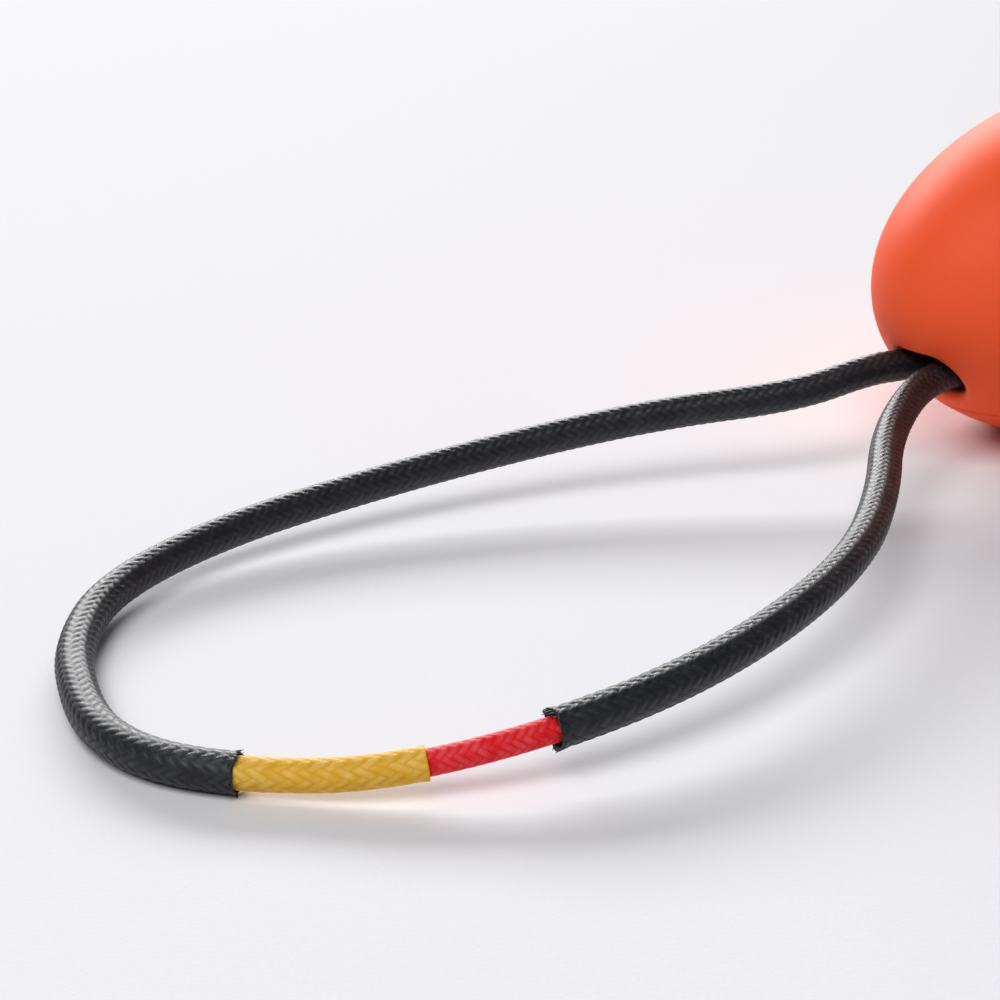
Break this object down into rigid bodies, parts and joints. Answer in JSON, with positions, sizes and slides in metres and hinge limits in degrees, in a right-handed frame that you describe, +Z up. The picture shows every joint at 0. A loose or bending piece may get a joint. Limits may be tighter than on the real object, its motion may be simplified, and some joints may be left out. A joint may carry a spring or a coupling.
{
  "type": "clicker trainer",
  "caption": "Egg-shaped handheld click trainer with a sprung thumb button, an inner steel click leaf and a wrist loop of layered braided cord.",
  "frame": {"origin": "middle of the flat that the body rests on, under the middle of the body's length and width", "axes": "+X along the body's length, away from the wrist loop; +Y across the body; +Z up, through the thumb button"},
  "size_m": [0.1622, 0.0534, 0.0364],
  "materials": {
    "shell_orange": "satin soft-touch, fine moulded grain",
    "button_plastic": "satin, fine moulded grain",
    "pad_rubber": "matt moulded elastomer with raised dots",
    "inner_plastic": "natural moulded nylon",
    "spring_steel": "bright rolled strip",
    "screw_steel": "zinc plated",
    "ferrule_brass": "crimped, dull",
    "sheath_black": "waxed fine braid with a soft sheen",
    "braid_yellow": "waxed fine braid",
    "braid_red": "waxed fine braid"
  },
  "bodies": {
    "body": {"upper_shell": "shell_orange", "base_tray": "shell_orange", "case_screws": "screw_steel", "guide_plate": "inner_plastic", "guide_plate_screws": "screw_steel", "return_spring": "spring_steel", "leaf_holder": "inner_plastic", "leaf_holder_screws": "screw_steel", "cord_ferrule": "ferrule_brass", "core_braid": "braid_red", "middle_braid_long": "braid_yellow", "middle_braid_short": "braid_yellow", "outer_sheath_long": "sheath_black", "outer_sheath_short": "sheath_black"},
    "button": {"push_button": "button_plastic", "thumb_pad": "pad_rubber"},
    "leaf": {"click_leaf": "spring_steel"}
  },
  "joints": [
    {"name": "button_press", "type": "slide", "parent": "body", "child": "button", "axis": [0, 0, -1], "range_m": [0, 0.0016], "stiffness_N_per_m": 900, "springref_m": -0.001, "deforming": ["return_spring"]},
    {"name": "leaf_swing", "type": "hinge", "parent": "body", "child": "leaf", "pos_m": [0.0168, 0, 0.0108], "axis": [0, -1, 0], "range_deg": [0, 7.3]}
  ],
  "couplings": [
    {"joint": "leaf_swing", "follows": "button_press", "rad_per_m": 78.125}
  ]
}
